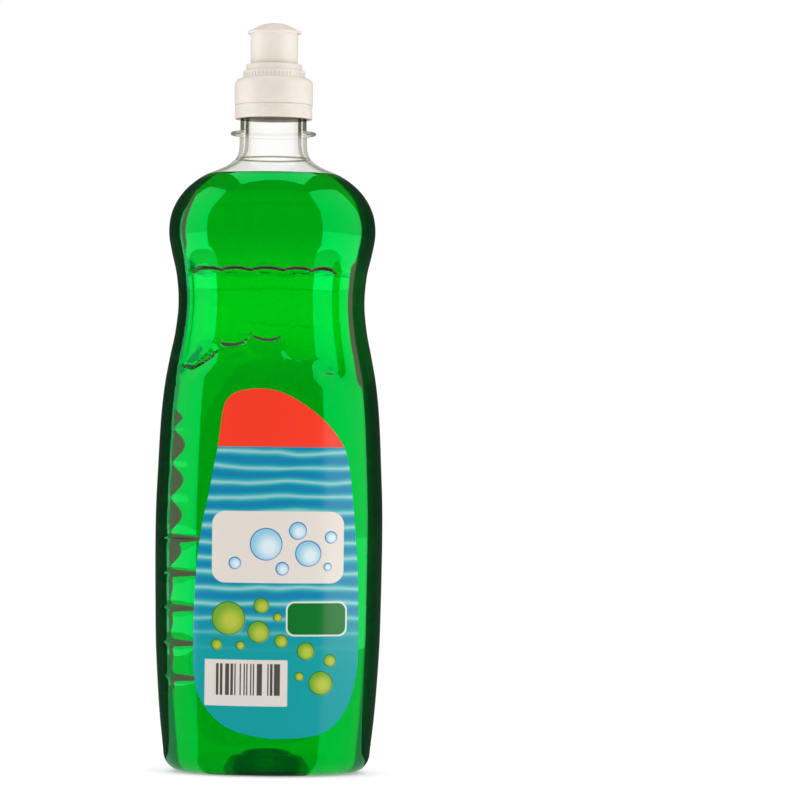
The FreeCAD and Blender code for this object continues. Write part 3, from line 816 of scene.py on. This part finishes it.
# Bubbles on the label: middle and radius, in millimetres
BLUE_BUBBLES = [(-1.0, 88.6, 6.2), (11.0, 93.8, 3.4), (15.0, 85.2, 5.0), (-12.8, 81.4, 2.4),
                (5.2, 79.4, 2.6), (23.6, 91.4, 2.4), (22.4, 80.2, 1.6)]
GREEN_BUBBLES = [(-15.0, 60.4, 6.4), (-3.6, 55.4, 4.2), (-2.6, 65.4, 3.0), (-19.4, 50.4, 2.2),
                 (-10.4, 50.2, 1.8), (3.6, 61.0, 1.8), (5.0, 52.0, 2.6), (14.4, 48.2, 3.4),
                 (23.6, 44.6, 2.4), (20.2, 36.0, 4.6), (12.0, 38.6, 1.8)]
INK_EDGE = 0.12


def laid_over(tree, share, under, ink):
    """Lays one ink, a hex value or a socket, over what is printed so far."""
    top = colour(ink) if isinstance(ink, str) else ink
    return add_node(tree, "ShaderNodeMix", {"data_type": "RGBA"},
                    {0: share, 6: under, 7: top}).outputs[2]


def oval_share(tree, place, middle, size, edge=INK_EDGE):
    """1 inside an oval on the label, in millimetres."""
    shift = add_node(tree, "ShaderNodeVectorMath", {"operation": "SUBTRACT"},
                     {0: place, 1: (middle[0], 0, middle[1])})
    scaled = add_node(tree, "ShaderNodeVectorMath", {"operation": "MULTIPLY"},
                      {0: shift, 1: (1 / size[0], 0, 1 / size[1])})
    reach = add_node(tree, "ShaderNodeVectorMath", {"operation": "LENGTH"},
                     {0: scaled}).outputs["Value"]
    soft = edge / min(size)
    return add_node(tree, "ShaderNodeMapRange", inputs={
        "Value": reach, "From Min": 1 + soft, "From Max": 1 - soft})


def plate_share(tree, place, middle, size, corner):
    """1 inside a plate with rounded corners on the label, in millimetres."""
    shift = add_node(tree, "ShaderNodeVectorMath", {"operation": "SUBTRACT"},
                     {0: place, 1: (middle[0], 0, middle[1])})
    fold = add_node(tree, "ShaderNodeVectorMath", {"operation": "ABSOLUTE"}, {0: shift})
    past = add_node(tree, "ShaderNodeVectorMath", {"operation": "SUBTRACT"},
                    {0: fold, 1: (size[0] - corner, 0, size[1] - corner)})
    past = add_node(tree, "ShaderNodeVectorMath", {"operation": "MAXIMUM"},
                    {0: past, 1: (0, 0, 0)})
    reach = add_node(tree, "ShaderNodeVectorMath", {"operation": "LENGTH"},
                     {0: past}).outputs["Value"]
    return add_node(tree, "ShaderNodeMapRange", inputs={
        "Value": reach, "From Min": corner + INK_EDGE, "From Max": corner - INK_EDGE})


def waves(tree, place):
    """Soft level waves in blue and teal, plain teal at the foot."""
    stretched = add_node(tree, "ShaderNodeVectorMath", {"operation": "MULTIPLY"},
                         {0: place, 1: (1, 0, 2.1)})
    bands = add_node(tree, "ShaderNodeTexWave", {
        "wave_type": "BANDS", "bands_direction": "Z"}, {
        "Vector": stretched, "Scale": 0.026, "Distortion": 2.4, "Detail": 2.0,
        "Detail Scale": 1.3})
    tone = add_node(tree, "ShaderNodeValToRGB", inputs={0: bands.outputs["Fac"]}, stops=[
        (0.0, "#0A7CA8"), (0.5, "#0C92A8"), (0.85, "#46A8B0"), (1.0, "#8AC2C6")])
    height = add_node(tree, "ShaderNodeSeparateXYZ", inputs={0: place}).outputs[2]
    foot = add_node(tree, "ShaderNodeMapRange", {"interpolation_type": "SMOOTHSTEP"}, {
        "Value": height, "From Min": 68.0, "From Max": 46.0})
    return laid_over(tree, foot, tone.outputs[0], "#00989C")


def bubbles(tree, place, art, middles, rim, body, glow):
    """Plain bubbles with a thin rim and a soft glow."""
    for across, up, radius in middles:
        middle = (across, up)
        lit = (across + radius * 0.16, up - radius * 0.16)
        art = laid_over(tree, oval_share(tree, place, middle, (radius,) * 2), art, rim)
        art = laid_over(tree, oval_share(tree, place, middle, (radius - 0.4,) * 2), art, body)
        art = laid_over(tree, oval_share(tree, place, lit, (radius * 0.62,) * 2, radius * 0.3),
                        art, glow)
    return art


def bar_field(tree, place, art):
    """A white field of plain upright bars of chance widths, drawn coarse enough to show."""
    art = laid_over(tree, plate_share(tree, place, (-8.1, 35.9), (15.7, 8.8), 0.4), art,
                    "#D9D2CB")
    across = add_node(tree, "ShaderNodeSeparateXYZ", inputs={0: place}).outputs[0]
    step = add_node(tree, "ShaderNodeMath", {"operation": "DIVIDE"}, {0: across, 1: 0.5})
    step = add_node(tree, "ShaderNodeMath", {"operation": "FLOOR"}, {0: step})
    chance = add_node(tree, "ShaderNodeTexWhiteNoise", {"noise_dimensions": "1D"},
                      {"W": step}).outputs["Value"]
    bar = add_node(tree, "ShaderNodeMath", {"operation": "GREATER_THAN"}, {0: chance, 1: 0.48})
    bar = add_node(tree, "ShaderNodeMath", {"operation": "MULTIPLY"}, {
        0: bar, 1: plate_share(tree, place, (-7.6, 37.2), (12.4, 6.0), 0.1)})
    return laid_over(tree, bar, art, "#2A2624")


def printed_film():
    """Polypropylene film, printed and varnished: fields of ink under a soft gloss."""
    material = bpy.data.materials.new("printed film")
    tree = new_tree(material)
    place = add_node(tree, "ShaderNodeVectorMath", {"operation": "MULTIPLY"}, {
        0: add_node(tree, "ShaderNodeTexCoord").outputs["Object"],
        1: (1 / MM, 0, 1 / MM)}).outputs[0]
    art = waves(tree, place)
    height = add_node(tree, "ShaderNodeSeparateXYZ", inputs={0: place}).outputs[2]
    head = add_node(tree, "ShaderNodeMapRange", inputs={
        "Value": height, "From Min": 125.4, "From Max": 125.6})
    art = laid_over(tree, head, art, "#F23A22")
    # Pale plate with blue bubbles
    art = laid_over(tree, plate_share(tree, place, (3.5, 87.5), (25.0, 13.6), 5.0), art,
                    "#DDD5CC")
    art = bubbles(tree, place, art, BLUE_BUBBLES, "#1668AC", "#8FC4DC", "#D8E6EA")
    # Green plate with a pale rim, and green bubbles beside and below it
    art = laid_over(tree, plate_share(tree, place, (18.4, 60.4), (11.6, 6.6), 3.2), art,
                    "#D5DCD6")
    art = laid_over(tree, plate_share(tree, place, (18.4, 60.4), (11.0, 6.0), 2.8), art,
                    "#067226")
    art = bubbles(tree, place, art, GREEN_BUBBLES, "#33701A", "#6FA52E", "#B4BE40")
    art = bar_field(tree, place, art)
    shader = add_node(tree, "ShaderNodeBsdfPrincipled", inputs={
        "Base Color": art, "Roughness": 0.16, "IOR": 1.49})
    add_node(tree, "ShaderNodeOutputMaterial", inputs={0: shader})
    return material


pet = blown_pet()
green_soap = dish_soap()
cap_plastic = moulded_polypropylene()
film = printed_film()

PIECES = [
    (bottle, pet, "bottle", "clear_pet", "bottle"),
    (neck_thread, pet, "bottle", "clear_pet", None),
    (soap, green_soap, "bottle", "green_soap", "dish_liquid"),
    (label, film, "bottle", "label_film", "front_label"),
    (tamper_band, cap_plastic, "band", "cap_plastic", "tamper_band"),
    (cap, cap_plastic, "cap", "cap_plastic", "screw_cap"),
    (cap_thread, cap_plastic, "cap", "cap_plastic", None),
    (pin, cap_plastic, "cap", "cap_plastic", None),
    (spider, cap_plastic, "cap", "cap_plastic", None),
    (spout, cap_plastic, "spout", "cap_plastic", "spout"),
]
for piece, material, body, slot, node in PIECES:
    piece.data.materials.clear()
    piece.data.materials.append(material)
    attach(piece, body)
    if node:
        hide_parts(node)

# Floor, light and camera

# Side lamps: direction from the front of the bottle and half angle, in degrees; place in metres
LEFT_LAMP = -80.5
LEFT_HALF = 23.4
RIGHT_LAMP = 68.5
RIGHT_HALF = 27.5
LAMP_DISTANCE = 0.45
LAMP_HEIGHT = 0.392


def seen_through(tree, path):
    """1 for light that comes straight through the bottle, less after a mirror bounce inside."""
    mirrored = add_node(tree, "ShaderNodeMapRange", inputs={
        "Value": path.outputs["Glossy Depth"], "To Min": 1.0, "To Max": 0.6})
    return add_node(tree, "ShaderNodeMath", {"operation": "MULTIPLY"},
                    {0: path.outputs["Is Transmission Ray"], 1: mirrored})


def studio_floor():
    """A white studio floor that keeps the soft shadow and runs out into plain white; it gives
    diffuse bounces a painted glow from below, and in reflections shows painted bright patches toward
    the side lamps.
    """
    deselect_all()
    bpy.ops.mesh.primitive_plane_add(size=8.0, location=(0, 0, 0))
    floor = bpy.context.object
    floor.name = "floor"
    material = bpy.data.materials.new("white studio floor")
    tree = new_tree(material)
    path = add_node(tree, "ShaderNodeLightPath")
    place = add_node(tree, "ShaderNodeTexCoord").outputs["Object"]
    reach = add_node(tree, "ShaderNodeVectorMath", {"operation": "LENGTH"}, {0: place})
    far = add_node(tree, "ShaderNodeMapRange", inputs={
        "Value": reach.outputs["Value"], "From Min": 0.12, "From Max": 0.4})
    lit = add_node(tree, "ShaderNodeBsdfDiffuse", inputs={"Color": colour("#F4F4F4")})
    glow = add_node(tree, "ShaderNodeEmission", inputs={"Strength": 0.33})
    white = add_node(tree, "ShaderNodeEmission", inputs={"Strength": 1.0})
    near = add_node(tree, "ShaderNodeAddShader", inputs={0: lit, 1: glow})
    shown = add_node(tree, "ShaderNodeMixShader", inputs={0: far, 1: near, 2: white})
    split = add_node(tree, "ShaderNodeSeparateXYZ", inputs={0: place})
    # Painted bright patches toward the side lamps, which the floor shows only in reflections
    bearing = add_node(tree, "ShaderNodeMath", {"operation": "ARCTAN2"}, {
        0: split.outputs[0],
        1: add_node(tree, "ShaderNodeMath", {"operation": "MULTIPLY"},
                    {0: split.outputs[1], 1: -1.0})})
    left = add_node(tree, "ShaderNodeMath", {"operation": "COMPARE"},
                    {0: bearing, 1: math.radians(LEFT_LAMP), 2: math.radians(LEFT_HALF)})
    right = add_node(tree, "ShaderNodeMath", {"operation": "COMPARE"},
                     {0: bearing, 1: math.radians(RIGHT_LAMP), 2: math.radians(RIGHT_HALF)})
    painted_lamp_patches = add_node(tree, "ShaderNodeMath", {"operation": "ADD"}, {0: left, 1: right})
    dim = add_node(tree, "ShaderNodeEmission", inputs={
        "Strength": add_node(tree, "ShaderNodeMapRange", inputs={
            "Value": painted_lamp_patches, "To Min": 0.08, "To Max": 0.66})})
    # A painted glow for diffuse bounces, lighting the object from below
    lift = add_node(tree, "ShaderNodeMath", {"operation": "MULTIPLY"},
                    {0: path.outputs["Is Diffuse Ray"], 1: 0.5})
    lift = add_node(tree, "ShaderNodeEmission", inputs={"Strength": lift})
    lifted = add_node(tree, "ShaderNodeAddShader", inputs={0: lit, 1: lift})
    seen = add_node(tree, "ShaderNodeMixShader", inputs={
        0: path.outputs["Is Glossy Ray"], 1: lifted, 2: dim})
    seen = add_node(tree, "ShaderNodeMixShader", inputs={
        0: path.outputs["Is Camera Ray"], 1: seen, 2: shown})
    shader = add_node(tree, "ShaderNodeMixShader", inputs={
        0: seen_through(tree, path), 1: seen, 2: white})
    add_node(tree, "ShaderNodeOutputMaterial", inputs={0: shader})
    floor.data.materials.append(material)


def studio_room():
    """White behind the object, a dim room in its gloss, and an even light on it."""
    world = bpy.data.worlds.new("studio")
    bpy.context.scene.world = world
    tree = new_tree(world)
    path = add_node(tree, "ShaderNodeLightPath")
    seen = add_node(tree, "ShaderNodeMath", {"operation": "MAXIMUM"}, {
        0: path.outputs["Is Camera Ray"], 1: seen_through(tree, path)})
    room = add_node(tree, "ShaderNodeMapRange", inputs={
        "Value": path.outputs["Is Glossy Ray"], "To Min": 0.58, "To Max": 0.06})
    strength = add_node(tree, "ShaderNodeMath", {"operation": "MAXIMUM"}, {0: seen, 1: room})
    background = add_node(tree, "ShaderNodeBackground", inputs={"Strength": strength})
    background.inputs["Color"].default_value = colour("#FFFFFF")
    add_node(tree, "ShaderNodeOutputWorld", inputs={0: background})


def softbox(name, place, turn, size, radiance, mirrored=True):
    """A soft lamp as bright all over as the radiance says."""
    data = bpy.data.lights.new(name, "AREA")
    data.shape = "RECTANGLE"
    data.size, data.size_y = size
    data.energy = radiance * math.pi * size[0] * size[1]
    lamp = bpy.data.objects.new(name, data)
    bpy.context.scene.collection.objects.link(lamp)
    lamp.location = place
    lamp.rotation_euler = [math.radians(angle) for angle in turn]
    lamp.visible_camera = False
    lamp.visible_transmission = False
    lamp.visible_glossy = mirrored
    return lamp


def beside(azimuth, distance, height):
    """A place at an angle from the front of the bottle."""
    angle = math.radians(azimuth)
    return (math.sin(angle) * distance, -math.cos(angle) * distance, height)


studio_floor()
studio_room()
softbox("softbox_left", beside(LEFT_LAMP, LAMP_DISTANCE, LAMP_HEIGHT), (90, 0, LEFT_LAMP),
        (0.39, 0.78), 1.15)
softbox("softbox_right", beside(RIGHT_LAMP, LAMP_DISTANCE, LAMP_HEIGHT), (90, 0, RIGHT_LAMP),
        (0.468, 0.78), 1.1)
softbox("softbox_top", (0, 0.05, 1.25), (0, 0, 0), (0.9, 0.9), 1.3)
softbox("softbox_back", beside(180, 1.6, 0.62), (90, 0, 180), (0.9, 1.2), 1.2, False)

# Camera at the photograph's place: level with the label's top, 1.5 m away
EYE_HEIGHT = 129.0
EYE_DISTANCE = 1500.0
FRAME_WIDTH = 308.8
ROLL = 0.65
SENSOR_WIDTH = 36.0

camera_data = bpy.data.cameras.new("camera")
camera = bpy.data.objects.new("camera", camera_data)
bpy.context.scene.collection.objects.link(camera)
camera.location = (0, -EYE_DISTANCE * MM, EYE_HEIGHT * MM)
camera.rotation_euler = (math.radians(90), math.radians(-ROLL), 0)
camera_data.sensor_width = SENSOR_WIDTH
camera_data.lens = SENSOR_WIDTH * EYE_DISTANCE / FRAME_WIDTH
camera_data.shift_x = 0.1625
camera_data.shift_y = 0.047
camera_data.clip_end = 50.0
bpy.context.scene.camera = camera
bpy.context.scene.view_settings.view_transform = "Standard"
